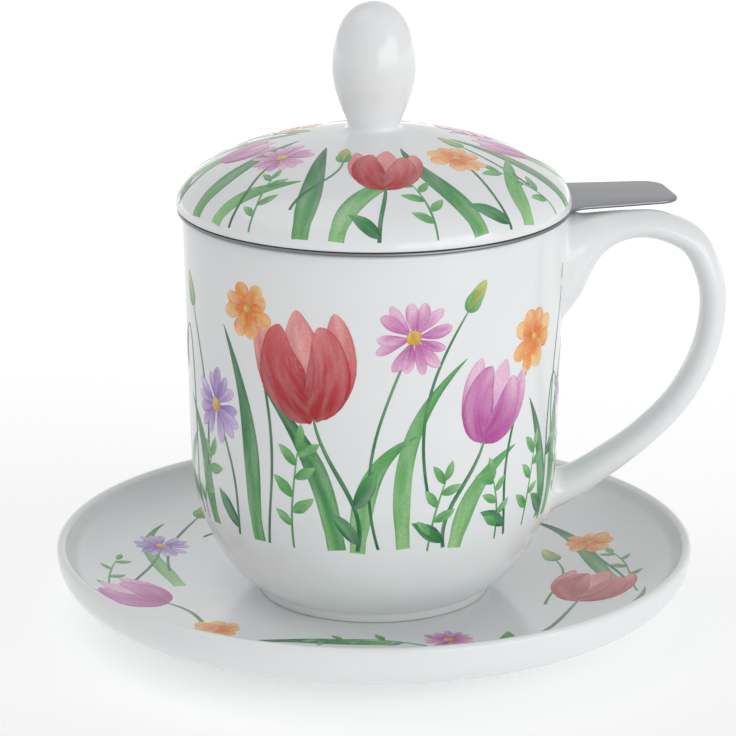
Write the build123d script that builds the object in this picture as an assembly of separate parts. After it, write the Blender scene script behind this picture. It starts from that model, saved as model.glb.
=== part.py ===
from build123d import *
import os
from math import asin, atan, cos, degrees, pi, radians, sin, sqrt

# Lidded tea mug with infuser, on its saucer. Lengths are in mm.
# Z is up and is the axis of the saucer, mug, infuser and lid. The table is z = 0,
# and the mug's handle points along +X.

# Saucer, slip-cast porcelain
saucer_diameter = 150.0
saucer_height = 18.0
saucer_lip_wall = 2.2            # thickness of the turned-up lip
saucer_plate = 3.4               # thickness under the mug
saucer_well_radius = 34.0        # flat middle that the mug stands on
saucer_foot_radius = 43.5
saucer_foot_width = 3.0
saucer_foot_height = 2.6
saucer_foot_draft = 0.8
saucer_rise = 2.2                # how far the plate climbs before it turns up into the lip
saucer_lip_lean = 0.2            # how far the inside of the lip leans in as it rises
plate_hold = 0.75                # share of the plate's span that stays nearly flat
plate_climb = 0.55               # share of the rise that it gains there
under_hold = 0.65                # the same for the underside, from the foot outwards
under_climb = 0.9
under_turn = 1.8                 # times the rise: where the underside turns up into the lip

# Mug body, thin porcelain
mug_radius = 44.2                # outside, at the rim
mug_height = 92.0
mug_wall = 3.0
mug_floor = 3.5
mug_flare = 1.3                  # the wall leans out by this much, from the belly to the rim
belly_width = 23.5               # half axes of the ellipse that rounds the mug into its foot
belly_height = 35.0
mug_foot_height = 2.2
mug_foot_width = 3.0
mug_foot_recess = 2.5            # hollow inside the foot ring
mug_foot_draft = 0.4
rim_round = 1.0

# Handle, a porcelain strap that is oval in section
handle_reach = 34.8              # from the mug's side out to the middle of the strap
handle_drop = 70.8               # from the mug's rim down to the middle of the lower root
handle_thick = 5.9               # in the plane of the handle, at its furthest point
handle_wide = 10.2               # across that plane, at the same point

# Stations along the strap. Each is its share of the reach, its share of the drop, the
# heading of the strap in degrees (0 is outwards, -90 is down), and how many times the
# thickness and the width it has there. The first and the last lie inside the mug's wall.
handle_stations = (
    (-0.07, 0.215, 0, 4.65, 1.42),
    (0.08, 0.157, 4, 3.40, 1.24),
    (0.15, 0.114, 10, 2.32, 1.14),
    (0.26, 0.078, 8, 1.54, 1.08),
    (0.425, 0.056, 2, 1.11, 1.06),
    (0.62, 0.058, -14, 1.10, 1.04),
    (0.844, 0.109, -40, 1.12, 1.02),
    (0.956, 0.208, -68, 1.07, 1.00),
    (0.995, 0.330, -87, 1.04, 1.00),
    (0.94, 0.4875, -107, 1.04, 1.00),
    (0.782, 0.641, -125, 1.04, 1.00),
    (0.537, 0.772, -137, 1.07, 1.02),
    (0.261, 0.876, -146, 1.17, 1.06),
    (0.04, 0.946, -151, 1.50, 1.24),
    (-0.22, 1.00, -150, 2.10, 1.80),
)

# Infuser, stamped and spot-welded stainless sheet
sheet = 0.8                      # rim and collar
flange_overhang = 1.2            # the rim stands out past the mug by this much
collar_gap = 1.7                 # between the collar and the inside of the mug
collar_depth = 9.0
collar_bend = 1.2                # inside radius of the bend from rim to collar
tab_reach = 70.9                 # from the axis to the end of the thumb tab
tab_turn = 11.5                  # degrees from the handle
tab_root_width = 25.5
tab_tip_width = 19.5
tab_corner = 5.0
tab_root_fillet = 7.0
sheet_edge = 0.35                # rounding of the rim and tab, as a share of the sheet
basket_sheet = 0.5
basket_depth = 66.0              # below the mug's rim
basket_taper = 3.6               # the basket narrows by this much on radius
basket_lap = 5.0                 # plain band inside the collar, where it is spot-welded
basket_foot_band = 5.0           # plain band at the bottom, inside the hem ring
slot_width = 1.4
slot_length = 6.4
slot_pitch = 9.0                 # from row to row
slots_per_row = 36
slot_margin = 1.5                # plain sheet above and below the rows
hem_height = 4.5
hem_lip = 3.0                    # how far the hem ring reaches under the screen
screen_gap = 0.1
screen_slot_length = 6.0
screen_rings = 3
screen_first_ring = 7.0
screen_margin = 2.0              # plain sheet between the last ring of slots and the hem's lip
screen_slot_spacing = 4.8        # along each ring

# Lid, porcelain dome
lid_overhang = 0.2               # the lid's edge stands out past the infuser's rim by this
lid_rise = 18.0                  # from the infuser's rim to the top of the dome, under the knob
lid_wall = 3.4
lid_edge_height = 0.7            # from the seat up to the widest line, where the dome starts
lid_seat_round = 1.2             # the underside rounds up to the edge over this width
crown_pull = 0.32                # shares that shape the dome: how far its top stays flat,
shoulder_pull = 0.6              # and how far it climbs before it leans in from the edge
lid_seat_pull = 0.3
lid_under_pull = 0.55
skirt_gap = 0.8                  # between the lid's skirt and the basket
skirt_depth = 7.0
skirt_wall = 3.0

# Knob, solid porcelain egg
knob_radius = 9.6
knob_top = 14.8                  # from the egg's widest line to its tip
knob_height = 29.3               # from the top of the dome to the tip
knob_neck_radius = 6.0
knob_neck_height = 1.5           # of the flared foot, up to the neck
knob_foot_radius = 8.3
knob_socket = 0.6                # depth of the seat in the dome
knob_flare_pull = 0.6            # shares that shape the flared foot and the waist above it
knob_flare_rise = (0.1, 0.3)
knob_waist_pull = 0.11
knob_egg_pull = 0.5
knob_side_pull = 0.58            # and the egg's upper half, blunter than an ellipse
knob_tip_pull = 0.65

# Heights that follow from the sizes above
well_z = saucer_foot_height + saucer_plate
rim_z = well_z + mug_height
flange_z = rim_z + sheet
basket_z = rim_z - basket_depth
dome_top_z = flange_z + lid_rise

# Radii that follow
belly_centre = mug_radius - mug_flare - belly_width
mug_bore = mug_radius - mug_wall
collar_radius = mug_bore - collar_gap
collar_bore = collar_radius - sheet
basket_bore = collar_bore - basket_sheet
basket_foot_radius = collar_bore - basket_taper
flange_radius = mug_radius + flange_overhang
lid_radius = flange_radius + lid_overhang
skirt_radius = basket_bore - skirt_gap


def turned(*outline):
    """Solid made by turning a closed outline, drawn in X and Z, about the axis."""
    return revolve(Plane.XZ * make_face(Curve() + list(outline)), Axis.Z)


def disc(radius, low_z, high_z):
    """Round block between two heights, on the axis."""
    return Pos(0, 0, low_z) * Cylinder(
        radius, high_z - low_z, align=(Align.CENTER, Align.CENTER, Align.MIN)
    )


def saucer():
    """Coupe saucer: flat well, gently rising plate and a lip that turns straight up."""
    radius = saucer_diameter / 2
    lip_z = saucer_height - saucer_lip_wall / 2
    inside = radius - saucer_lip_wall
    plate_span = inside - saucer_well_radius
    foot_top = saucer_foot_radius + saucer_foot_draft
    foot_bore = saucer_foot_radius - saucer_foot_width
    under_span = radius - foot_top
    plate_curve = Bezier(
        (saucer_well_radius, well_z),
        (saucer_well_radius + plate_hold * plate_span, well_z + plate_climb * saucer_rise),
        (inside - saucer_lip_lean, well_z + saucer_rise),
        (inside, lip_z),
    )
    under_curve = Bezier(
        (radius, lip_z),
        (radius - 2 * saucer_lip_lean, saucer_foot_height + under_turn * saucer_rise),
        (foot_top + under_hold * under_span, saucer_foot_height + under_climb * saucer_rise),
        (foot_top, saucer_foot_height),
    )
    return turned(
        Line((0, well_z), (saucer_well_radius, well_z)),
        plate_curve,
        ThreePointArc((inside, lip_z), (radius - saucer_lip_wall / 2, saucer_height), (radius, lip_z)),
        under_curve,
        Polyline(
            (foot_top, saucer_foot_height),
            (saucer_foot_radius, 0),
            (foot_bore, 0),
            (foot_bore - saucer_foot_draft, saucer_foot_height),
            (0, saucer_foot_height),
            (0, well_z),
        ),
    )


def mug_side(inset, lift, start_angle):
    """The mug's side as two curves: the belly, a piece of an ellipse, and the leaning wall.

    inset moves both inwards, for the inside of the wall, and lift raises the lowest point.
    The ellipse runs from start_angle up to where it leans as the wall does.
    """
    half_wide, half_high = belly_width - inset, belly_height - lift
    lean = mug_flare / (mug_height - belly_height)
    top_angle = -degrees(atan(lean * half_high / half_wide))
    belly = EllipticalCenterArc(
        (belly_centre, well_z + belly_height), half_wide, half_high, start_angle,
        arc_size=top_angle - start_angle,
    )
    return belly, Line(belly @ 1, (mug_radius - inset, rim_z))


def mug_envelope():
    """The mug's outside as a solid block, down to the foot ring."""
    foot_angle = -degrees(asin(1 - mug_foot_height / belly_height))
    belly, wall = mug_side(0, 0, foot_angle)
    foot_radius = (belly @ 0).X - mug_foot_draft
    return foot_radius, turned(
        belly,
        wall,
        Polyline(wall @ 1, (0, rim_z), (0, well_z), (foot_radius, well_z), belly @ 0),
    )


def mug_body():
    """Cup with a round belly and a low foot ring, hollow under the floor."""
    floor_lift = mug_foot_recess + mug_floor
    floor_z = well_z + floor_lift
    foot_radius, envelope = mug_envelope()
    belly, wall = mug_side(mug_wall, floor_lift, -90)
    bore = turned(belly, wall, Polyline(wall @ 1, (0, rim_z), (0, floor_z), belly @ 0))
    recess_radius = foot_radius - mug_foot_width
    recess = Pos(0, 0, well_z) * Cone(
        recess_radius, recess_radius - mug_foot_draft, mug_foot_recess,
        align=(Align.CENTER, Align.CENTER, Align.MIN),
    )
    body = envelope - bore - recess
    rim_edges = body.edges().filter_by(GeomType.CIRCLE).group_by(Axis.Z)[-1]
    return fillet(rim_edges, min(rim_round, mug_wall / 2.5))


def mug_handle():
    """Strap handle: oval sections lofted along an ear, flaring where it joins the mug."""
    sections = []
    for out, down, heading, thicker, wider in handle_stations:
        middle = (mug_radius + out * handle_reach, 0, rim_z - down * handle_drop)
        along = (cos(radians(heading)), 0, sin(radians(heading)))
        oval = Ellipse(wider * handle_wide / 2, thicker * handle_thick / 2)
        sections.append(Plane(origin=middle, x_dir=(0, 1, 0), z_dir=along) * oval)
    _, envelope = mug_envelope()
    return loft(sections) - envelope


def infuser_plate():
    """Flat sheet of the rim and its thumb tab, with rounded corners and eased edges."""
    tab = make_face(
        Polyline(
            (collar_radius, tab_root_width / 2),
            (tab_reach, tab_tip_width / 2),
            (tab_reach, -tab_tip_width / 2),
            (collar_radius, -tab_root_width / 2),
            close=True,
        )
    )
    tab = fillet(tab.vertices().sort_by(Axis.X)[-2:], tab_corner)
    outline = Circle(flange_radius) + tab
    root_x = sqrt(flange_radius ** 2 - (tab_root_width / 2) ** 2)
    roots = outline.vertices().sort_by(lambda vertex: abs(vertex.X - root_x))[:2]
    outline = fillet(roots, tab_root_fillet)
    plate = extrude(Rot(0, 0, tab_turn) * outline, sheet)
    rims = [face.outer_wire() for face in plate.faces().filter_by(Axis.Z)]
    plate = fillet([edge for wire in rims for edge in wire.edges()], sheet_edge * sheet)
    return plate - Cylinder(collar_radius + collar_bend, 3 * sheet)


def infuser_rim():
    """Rim that hangs on the mug, with the thumb tab, turned down into a collar."""
    low = rim_z - collar_depth
    bend_x, bend_z = collar_radius + collar_bend, rim_z - collar_bend
    outer_bend = CenterArc((bend_x, bend_z), collar_bend, 180, -90)
    inner_bend = CenterArc((bend_x, bend_z), collar_bend + sheet, 90, 90)
    collar = turned(
        outer_bend,
        Line((bend_x, rim_z), (bend_x, flange_z)),
        inner_bend,
        Polyline(inner_bend @ 1, (collar_bore, low), (collar_radius, low), outer_bend @ 0),
    )
    return Pos(0, 0, rim_z) * infuser_plate() + collar


def basket_radius(z):
    """Outside radius of the basket's wall at a height: straight bands joined by a taper."""
    low, high = basket_z + basket_foot_band, rim_z - collar_depth
    share = min(max((z - low) / (high - low), 0), 1)
    return basket_foot_radius + share * basket_taper


def infuser_wall():
    """Rolled sheet, punched with rows of upright slots that sit half a pitch apart."""
    top, low, high = rim_z - collar_depth + basket_lap, basket_z + basket_foot_band, rim_z - collar_depth
    heights = (basket_z, low, high, top)
    outside = [(basket_radius(z), z) for z in heights]
    inside = [(basket_radius(z) - basket_sheet, z) for z in reversed(heights)]
    wall = turned(Polyline(*outside, *inside, close=True))
    rows = int((high - low - 2 * slot_margin - slot_length) / slot_pitch) + 1
    first_z = (low + high - (rows - 1) * slot_pitch) / 2
    slot = Box(basket_taper + 4 * basket_sheet, slot_width, slot_length)
    slots = []
    for row in range(rows):
        for column in range(slots_per_row):
            angle = 360 / slots_per_row * (column + row % 2 / 2)
            z = first_z + row * slot_pitch
            slots.append(Rot(0, 0, angle) * Pos(basket_radius(z), 0, z) * slot)
    return wall - slots


def infuser_hem_ring():
    """Ring crimped round the basket's foot, with a lip that the screen lies on."""
    outside, lip = basket_foot_radius + basket_sheet, basket_z - basket_sheet
    inside = basket_foot_radius - hem_lip
    return turned(
        Polyline(
            (outside, basket_z + hem_height),
            (basket_foot_radius, basket_z + hem_height),
            (basket_foot_radius, basket_z),
            (inside, basket_z),
            (inside, lip),
            (outside, lip),
            close=True,
        )
    )


def infuser_screen():
    """Bottom disc, punched with rings of slots that point at its middle."""
    radius = basket_foot_radius - basket_sheet - screen_gap
    slot = Box(screen_slot_length, slot_width, 3 * basket_sheet)
    last_ring = radius - hem_lip - screen_margin - screen_slot_length / 2
    ring_pitch = (last_ring - screen_first_ring) / (screen_rings - 1)
    slots = []
    for step in range(screen_rings):
        ring = screen_first_ring + step * ring_pitch
        count = round(2 * pi * ring / screen_slot_spacing)
        slots += [Rot(0, 0, 360 / count * turn) * Pos(ring, 0, 0) * slot for turn in range(count)]
    return Pos(0, 0, basket_z) * (disc(radius, 0, basket_sheet) - slots)


def dome_curve(inset=0.0):
    """The dome's profile from its edge in to the axis, or the one that lies inside its wall."""
    edge, edge_z, top_z = lid_radius - inset, flange_z + lid_edge_height, dome_top_z - inset
    return Bezier(
        (edge, edge_z),
        (edge, edge_z + shoulder_pull * (top_z - edge_z)),
        (crown_pull * edge, top_z),
        (0, top_z),
    )


def dome_z(radius):
    """Height of the dome at a radius."""
    return dome_curve().find_intersection_points(Axis((radius, 0, 0), (0, 1, 0)))[0].Y


def lid_body():
    """Domed lid with a crisp edge, a flat seat, and a skirt that stands in the infuser."""
    edge_z, seat_edge = flange_z + lid_edge_height, lid_radius - lid_seat_round
    under_edge = Bezier(
        (seat_edge, flange_z),
        (lid_radius - lid_seat_pull * lid_seat_round, flange_z),
        (lid_radius, edge_z - lid_under_pull * lid_edge_height),
        (lid_radius, edge_z),
    )
    dome = dome_curve()
    block = turned(under_edge, dome, Polyline(dome @ 1, (0, flange_z), (seat_edge, flange_z)))
    skirt_low, skirt_bore = flange_z - skirt_depth, skirt_radius - skirt_wall
    ceiling = dome_curve(lid_wall)
    inside = lid_radius - lid_wall
    cavity = turned(ceiling, Polyline(ceiling @ 1, (0, skirt_low), (inside, skirt_low), (inside, edge_z)))
    hollow = cavity & disc(skirt_bore, skirt_low, dome_top_z)
    socket = disc(knob_foot_radius, dome_z(knob_foot_radius) - knob_socket, dome_top_z + knob_socket)
    return block + disc(skirt_radius, skirt_low, flange_z) - hollow - socket


def lid_knob():
    """Egg-shaped knob on a short flared foot that runs out flush with the dome."""
    foot_z = dome_z(knob_foot_radius)
    socket_z = foot_z - knob_socket
    neck_z = foot_z + knob_neck_height
    tip_z = dome_top_z + knob_height
    widest_z = tip_z - knob_top
    flare_span = knob_foot_radius - knob_neck_radius
    low_rise, high_rise = knob_flare_rise
    waist_span = widest_z - neck_z
    flare = Bezier(
        (knob_foot_radius, foot_z),
        (knob_foot_radius - knob_flare_pull * flare_span, foot_z + low_rise * knob_neck_height),
        (knob_neck_radius, foot_z + high_rise * knob_neck_height),
        (knob_neck_radius, neck_z),
    )
    lower = Bezier(
        (knob_neck_radius, neck_z),
        (knob_neck_radius, neck_z + knob_waist_pull * waist_span),
        (knob_radius, widest_z - knob_egg_pull * waist_span),
        (knob_radius, widest_z),
    )
    upper = Bezier(
        (knob_radius, widest_z),
        (knob_radius, widest_z + knob_side_pull * knob_top),
        (knob_tip_pull * knob_radius, tip_z),
        (0, tip_z),
    )
    return turned(
        flare,
        lower,
        upper,
        Polyline((0, tip_z), (0, socket_z), (knob_foot_radius, socket_z), (knob_foot_radius, foot_z)),
    )


nodes = (
    saucer, mug_body, mug_handle, infuser_rim, infuser_wall, infuser_hem_ring, infuser_screen,
    lid_body, lid_knob,
)
os.makedirs("parts", exist_ok=True)
for make in nodes:
    solid = make()
    solid.label = make.__name__
    export_step(solid, f"parts/{make.__name__}.step")
    print(make.__name__, "volume", round(solid.volume), "size", solid.bounding_box().size)
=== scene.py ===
from functools import partial
import bpy
import numpy as np
from mathutils import Matrix, Vector


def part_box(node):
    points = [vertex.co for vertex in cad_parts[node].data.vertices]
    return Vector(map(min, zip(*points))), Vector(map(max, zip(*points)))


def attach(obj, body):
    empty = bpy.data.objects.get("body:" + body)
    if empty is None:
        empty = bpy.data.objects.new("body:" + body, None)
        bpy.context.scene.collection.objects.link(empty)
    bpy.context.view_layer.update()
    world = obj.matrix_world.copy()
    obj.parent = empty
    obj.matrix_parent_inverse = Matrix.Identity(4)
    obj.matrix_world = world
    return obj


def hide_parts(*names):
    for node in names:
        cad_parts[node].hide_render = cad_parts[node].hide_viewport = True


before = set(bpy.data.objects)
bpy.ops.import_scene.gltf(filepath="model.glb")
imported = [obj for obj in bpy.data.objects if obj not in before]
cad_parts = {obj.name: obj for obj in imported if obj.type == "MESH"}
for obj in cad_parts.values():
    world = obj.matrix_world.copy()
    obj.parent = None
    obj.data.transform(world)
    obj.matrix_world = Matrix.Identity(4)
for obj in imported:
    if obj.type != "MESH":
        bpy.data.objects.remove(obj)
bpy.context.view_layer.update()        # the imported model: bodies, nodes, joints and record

mm = 0.001    # every size below is in millimetres, and meshes are written in metres
print("stage: frame loaded")


# Outlines are runs of points in radius and height, and pieces are grids of points.

def highOf(node):    # highest corner of a node, in millimetres
    return np.array(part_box(node)[1]) / mm


def lowOf(node):
    return np.array(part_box(node)[0]) / mm


def curveAt(spine, t):    # cubic curve of four points at the given shares: the weights sum to one
    a, b, c, d = (np.asarray(point, float) for point in spine)
    t = np.asarray(t)[:, None]
    return (1 - t) ** 3 * a + 3 * t * (1 - t) ** 2 * b + 3 * t * t * (1 - t) * c + t ** 3 * d


def bezier(a, b, c, d, count):
    return curveAt((a, b, c, d), np.linspace(0, 1, count))


def arc(centre, halfWide, halfHigh, start, end, count):    # stretch of an ellipse, angles in degrees
    t = np.radians(np.linspace(start, end, count))
    return np.stack([centre[0] + halfWide * np.cos(t), centre[1] + halfHigh * np.sin(t)], 1)


def line(a, b, count=2):
    return np.linspace(a, b, count)


def joined(*runs):    # runs of points end to end, without the points that repeat
    points = np.concatenate([np.asarray(run, float).reshape(-1, 2) for run in runs])
    apart = np.linalg.norm(np.diff(points, axis=0), axis=1) > 1e-6
    return points[np.concatenate([[True], apart])]


def eased(corners, radius, count=5):
    # Polyline whose inner corners are rounded: near each corner the path is a quadratic
    # curve that starts and ends at the radius from it.
    corners = np.array(corners, float)
    runs = [corners[:1]]
    for before, corner, after in zip(corners, corners[1:], corners[2:]):
        back, ahead = before - corner, after - corner
        start = corner + back / np.linalg.norm(back) * radius
        end = corner + ahead / np.linalg.norm(ahead) * radius
        t = np.linspace(0, 1, count)[:, None]
        runs.append((1 - t) ** 2 * start + 2 * t * (1 - t) * corner + t * t * end)
    return joined(*runs, corners[-1:])


def gridQuads(rows, columns, wrapRows=False, wrapColumns=False):    # corner numbers of a grid's quads
    row = np.arange(rows if wrapRows else rows - 1)[:, None]
    column = np.arange(columns if wrapColumns else columns - 1)[None]
    nextRow, nextColumn = (row + 1) % rows, (column + 1) % columns
    here, below = row * columns, nextRow * columns
    quads = [here + column, below + column, below + nextColumn, here + nextColumn]
    return np.stack(quads, -1).reshape(-1, 4)


def fan(ring, centre):    # triangles from a closed ring of corner numbers to one corner
    return np.stack([ring, np.roll(ring, -1), np.full(len(ring), centre)], 1)


def newObject(name, data):
    piece = bpy.data.objects.new(name, data)
    bpy.context.scene.collection.objects.link(piece)
    return piece


def makePiece(name, points, quads, triangles=(), attributes=None, sharp=35.0):
    # A mesh object at the origin, from corner numbers of quads and triangles. The faces are
    # turned outwards: the volume under them, summed with its sign, has to be positive.
    points = np.asarray(points, float)
    triangles = np.asarray(triangles, int).reshape(-1, 3)
    halves = np.concatenate([quads[:, [0, 1, 2]], quads[:, [0, 2, 3]], triangles])
    first, second, third = (points[halves[:, i]] for i in range(3))
    if np.einsum("ij,ij->", first, np.cross(second, third)) < 0:
        quads, triangles = quads[:, ::-1], triangles[:, ::-1]
    mesh = bpy.data.meshes.new(name)
    mesh.vertices.add(len(points))
    mesh.vertices.foreach_set("co", (points * mm).astype(np.float32).ravel())
    corners = np.concatenate([quads.ravel(), triangles.ravel()])
    mesh.loops.add(len(corners))
    mesh.loops.foreach_set("vertex_index", corners.astype(np.int32))
    starts = np.concatenate([np.arange(len(quads)) * 4, len(quads) * 4 + np.arange(len(triangles)) * 3])
    mesh.polygons.add(len(starts))
    mesh.polygons.foreach_set("loop_start", starts.astype(np.int32))
    mesh.update(calc_edges=True)
    mesh.validate()
    for key, (kind, values) in (attributes or {}).items():
        field = {"FLOAT": "value", "FLOAT_VECTOR": "vector", "FLOAT_COLOR": "color"}[kind]
        layer = mesh.attributes.new(key, kind, "POINT")
        layer.data.foreach_set(field, np.asarray(values, np.float32).ravel())
    mesh.shade_smooth()
    mesh.set_sharp_from_angle(angle=np.radians(sharp))
    return newObject(name, mesh)


def capped(rings, ends):    # a tube of rings that closes to a point at both ends
    rows, around = rings.shape[:2]
    first = np.arange(around)
    closed = [fan(first[::-1], rows * around), fan(first + (rows - 1) * around, rows * around + 1)]
    points = np.concatenate([rings.reshape(-1, 3), ends])
    return points, gridQuads(rows, around, wrapColumns=True), np.concatenate(closed)


def turned(name, outline, steps=288, bareTo=-1.0):
    # The outline, from axis to axis, carried once round: x = r cos a, y = r sin a. What lies
    # lower than bareTo, as the ring that a foot stands on does, has no glaze.
    angle = np.linspace(0, 2 * np.pi, steps, endpoint=False)
    radius, height = outline[1:-1, :1], outline[1:-1, 1:]
    rings = np.stack([radius * np.cos(angle), radius * np.sin(angle), np.repeat(height, steps, 1)], -1)
    points, quads, triangles = capped(rings, [[0, 0, outline[0, 1]], [0, 0, outline[-1, 1]]])
    return makePiece(name, points, quads, triangles, {"bare": ("FLOAT", points[:, 2] < bareTo)})


def hexShares(colour):
    return np.array([int(colour[i:i + 2], 16) / 255 for i in (1, 3, 5)])


def toLinear(colour):    # sRGB shares to linear light
    return np.where(colour <= 0.04045, colour / 12.92, ((colour + 0.055) / 1.055) ** 2.4)


def addNode(tree, kind, settings=None, links=None):
    # settings holds properties and input values, links holds pairs of a node and its output,
    # both by the name or the number of the input.
    node = tree.nodes.new("ShaderNode" + kind)
    for key, value in (settings or {}).items():
        if isinstance(key, str) and hasattr(node, key):
            setattr(node, key, value)
        else:
            node.inputs[key].default_value = value
    for key, (source, output) in (links or {}).items():
        tree.links.new(source.outputs[output], node.inputs[key])
    return node


def nodesOf(owner):    # clears a material or a world, and returns what adds a node to it
    owner.use_nodes = True
    owner.node_tree.nodes.clear()
    return partial(addNode, owner.node_tree)


def newMaterial(name):
    material = bpy.data.materials.new(name)
    return material, nodesOf(material)


def colour4(colour):
    return (*toLinear(hexShares(colour)), 1.0)


porcelain = {
    "glaze": "#f4f6f7",         # cool white of a clear glaze on bone china
    "shade": "#f1f4f5",         # faint clouding where the glaze lies thicker
    "bisque": "#d9d4c8",        # unglazed ring of the foot
    "ior": 1.52,                # of the glaze and of the enamel on it
    "roughness": 0.16,
    "bareRoughness": 0.7,
    "cloud": 26.0,              # mm across a cloud in the glaze
    "wave": 5.0,                # mm across the slight waviness of the glaze, and its depth
    "waveDepth": 0.004,
}


def glazedPorcelain():
    # Glazed porcelain: slip-cast, dipped in clear glaze and fired. White, glossy and slightly
    # wavy, with a matt biscuit ring where the foot was wiped bare.
    p = porcelain
    material, add = newMaterial("glazedPorcelain")
    solid = add("TexCoord")
    cloud = add("TexNoise", {"Scale": 1 / (p["cloud"] * mm), "Detail": 2.0}, {"Vector": (solid, "Object")})
    clouds = add("MapRange", {"From Min": 0.35, "From Max": 0.65}, {"Value": (cloud, "Fac")})
    glaze = add("MixRGB", {"Color1": colour4(p["glaze"]), "Color2": colour4(p["shade"])},
                {"Fac": (clouds, "Result")})
    bare = add("Attribute", {"attribute_name": "bare"})
    body = add("MixRGB", {"Color2": colour4(p["bisque"])},
               {"Fac": (bare, "Fac"), "Color1": (glaze, "Color")})
    rough = add("MapRange", {"To Min": p["roughness"], "To Max": p["bareRoughness"]},
                {"Value": (bare, "Fac")})
    wave = add("TexNoise", {"Scale": 1 / (p["wave"] * mm), "Detail": 1.0}, {"Vector": (solid, "Object")})
    bump = add("Bump", {"Strength": 0.35, "Distance": p["waveDepth"] * mm}, {"Height": (wave, "Fac")})
    shader = add("BsdfPrincipled", {"IOR": p["ior"]}, {
        "Base Color": (body, "Color"), "Roughness": (rough, "Result"), "Normal": (bump, "Normal")})
    add("OutputMaterial", None, {"Surface": (shader, "BSDF")})
    return material


steel = {
    "stampedWithDarkReflection": ("#6f7073", "#858689"),    # dull and bright tone of the thick satin rim, darker than its steel: painted reflection of a dark room
    "rolled": ("#848588", "#9b9c9f"),     # and of the basket's thin sheet
    "roughness": (0.24, 0.36),
    "grainWidth": 0.22,         # mm across one brushed line, coarser than real so that it shows
    "grainLength": 14.0,
    "grainDepth": 0.01,
    "drum": 38.0,               # mm, radius at which the basket's lines are laid
}


def brushedSteel(name, rolled):
    # Stainless steel sheet, brushed along its length: fine lines that stretch the highlights.
    # They follow the piece's own grain, or run round the axis on the rolled basket.
    material, add = newMaterial(name)
    if rolled:
        solid = add("TexCoord")
        spot = add("SeparateXYZ", None, {0: (solid, "Object")})
        angle = add("Math", {"operation": "ARCTAN2"}, {0: (spot, "Y"), 1: (spot, "X")})
        way = add("Math", {"operation": "MULTIPLY", 1: steel["drum"]}, {0: (angle, "Value")})
        height = add("Math", {"operation": "DIVIDE", 1: mm}, {0: (spot, "Z")})
        grain = add("CombineXYZ", None, {"X": (way, "Value"), "Y": (height, "Value")})
    else:
        grain = add("Attribute", {"attribute_name": "grain"})
    scale = (1 / steel["grainLength"], 1 / steel["grainWidth"], 1 / steel["grainWidth"])
    lines = add("Mapping", {"Scale": scale}, {"Vector": (grain, "Vector")})
    noise = add("TexNoise", {"Scale": 1.0, "Detail": 3.0, "Roughness": 0.65}, {"Vector": (lines, "Vector")})
    # The rim's tones are darker than the steel's own: a painted reflection of a dark room.
    dull, bright = (colour4(shade) for shade in steel["rolled" if rolled else "stampedWithDarkReflection"])
    tone = add("MixRGB", {"Color1": dull, "Color2": bright}, {"Fac": (noise, "Fac")})
    low, high = steel["roughness"]
    rough = add("MapRange", {"To Min": low, "To Max": high}, {"Value": (noise, "Fac")})
    bump = add("Bump", {"Strength": 0.25, "Distance": steel["grainDepth"] * mm}, {"Height": (noise, "Fac")})
    shader = add("BsdfPrincipled", {"Metallic": 1.0, "Anisotropic": 0.4}, {
        "Base Color": (tone, "Color"), "Roughness": (rough, "Result"), "Normal": (bump, "Normal")})
    add("OutputMaterial", None, {"Surface": (shader, "BSDF")})
    return material


enamel = {
    "roughness": 0.2,
    "thinned": "#f4f4f1",       # what shows where a wash runs thin
    "thinning": 0.16,           # most that it shows
    "streaks": (0.1, 0.5, 1.0),    # per mm along the stroke and across it
    "grain": 0.7,               # mm across a fleck in the wash, and its tones
    "grainTones": (0.9, 1.08),
    "sunk": 0.05,               # the shells reach this far into the glaze
    "lift": 0.012,              # and stand this far out of it, more for each layer
    "layer": 0.008,
    "tip": 0.04,                # half the width that is left at a pointed end
    "wobble": 0.06,             # unevenness of an edge, as a share of the width
    "pool": 0.3,                # how much pigment gathers along an edge
    "wash": 0.2,                # unevenness of the wash
    "waves": 5,                 # sine waves in a ripple, how many run along and across, its height
    "wavesAlong": (0.2, 1.2),
    "wavesAcross": (-0.8, 0.8),
    "waveHeight": 1.6,
}


def enamelPrint():
    # Overglaze transfer print: enamels washed on thin like watercolour and fired. Each point's
    # colour is the piece's paint, thinned in streaks along the brush and in fine grain.
    e = enamel
    material, add = newMaterial("overglazePrint")
    paint = add("Attribute", {"attribute_name": "paint"})
    sweep = add("Attribute", {"attribute_name": "sweep"})
    along = add("Mapping", {"Scale": e["streaks"]}, {"Vector": (sweep, "Vector")})
    streak = add("TexNoise", {"Scale": 1.0, "Detail": 2.0, "Roughness": 0.5}, {"Vector": (along, "Vector")})
    thin = add("MapRange", {"From Min": 0.4, "From Max": 0.7, "To Max": e["thinning"]},
               {"Value": (streak, "Fac")})
    washed = add("MixRGB", {"Color2": colour4(e["thinned"])},
                 {"Fac": (thin, "Result"), "Color1": (paint, "Color")})
    solid = add("TexCoord")
    grain = add("TexNoise", {"Scale": 1 / (e["grain"] * mm), "Detail": 2.0}, {"Vector": (solid, "Object")})
    low, high = e["grainTones"]
    fleck = add("MapRange", {"From Min": 0.3, "From Max": 0.7, "To Min": low, "To Max": high},
                {"Value": (grain, "Fac")})
    tint = add("VectorMath", {"operation": "SCALE"}, {0: (washed, "Color"), "Scale": (fleck, "Result")})
    shader = add("BsdfPrincipled", {"Roughness": e["roughness"], "IOR": porcelain["ior"]},
                 {"Base Color": (tint, "Vector")})
    add("OutputMaterial", None, {"Surface": (shader, "BSDF")})
    return material


glazeMaterial, printMaterial = glazedPorcelain(), enamelPrint()
steelMaterial = brushedSteel("brushedStainlessSteel", False)
rolledMaterial = brushedSteel("rolledStainlessSteel", True)


def place(piece, body, slot, material, *nodes):
    piece.data.materials.append(material)
    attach(piece, body)
    if nodes:
        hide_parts(*nodes)
    return piece


print("stage: materials made")


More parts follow.
